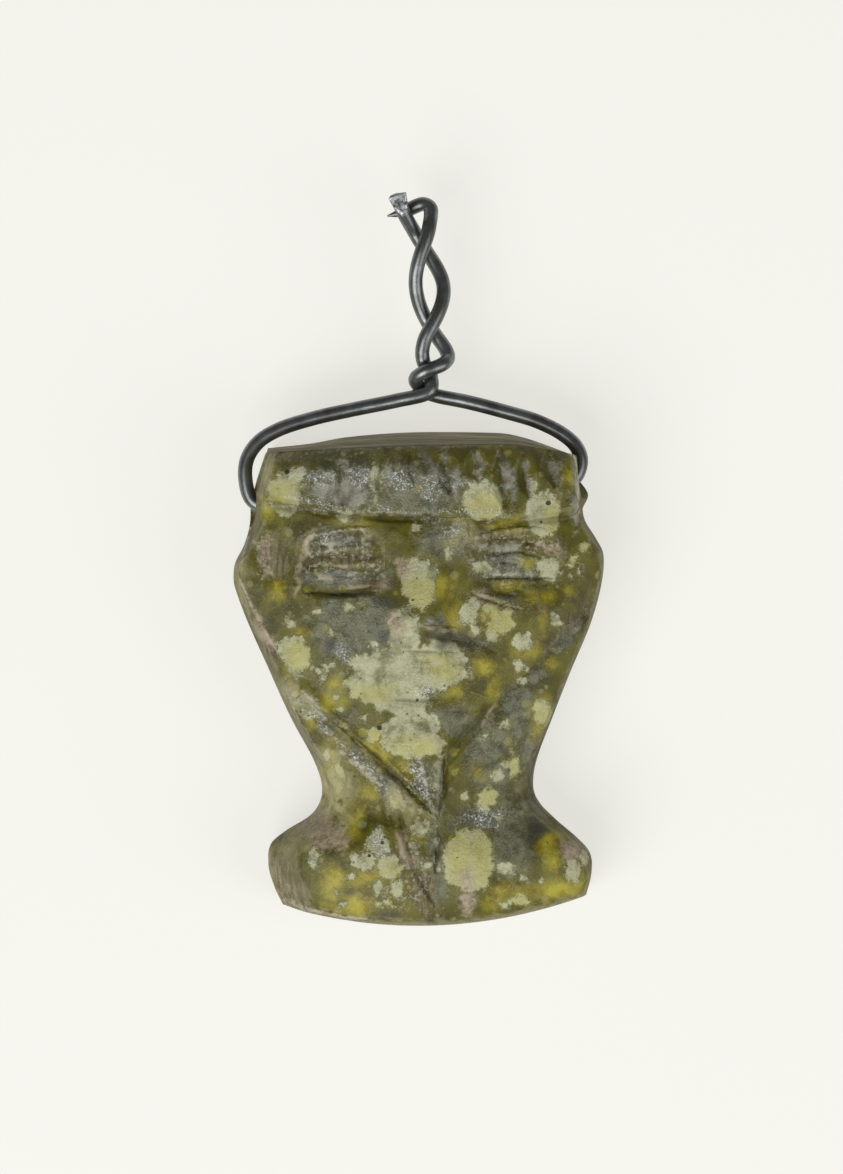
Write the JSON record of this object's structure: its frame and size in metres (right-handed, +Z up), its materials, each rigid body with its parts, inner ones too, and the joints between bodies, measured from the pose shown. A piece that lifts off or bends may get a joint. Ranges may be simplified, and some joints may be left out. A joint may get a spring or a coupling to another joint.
{
  "type": "deity amulet",
  "caption": "Small carved stone head and shoulders of a deity, pierced from side to side and threaded on a twisted wire hanger.",
  "frame": {"origin": "on the surface that the amulet lies on, under the middle of its outline from above", "axes": "+Z up out of the carved face, +Y from the base to the twisted end of the wire, +X to the right as seen from above"},
  "size_m": [0.0195, 0.0386, 0.0087],
  "materials": {
    "serpentine": "worn polish, mottled olive green with pale spots and dirt in the cuts",
    "dark_iron": "blackened drawn iron wire"
  },
  "bodies": {
    "root": {"stone_amulet": "serpentine", "suspension_wire": "dark_iron"}
  },
  "joints": []
}
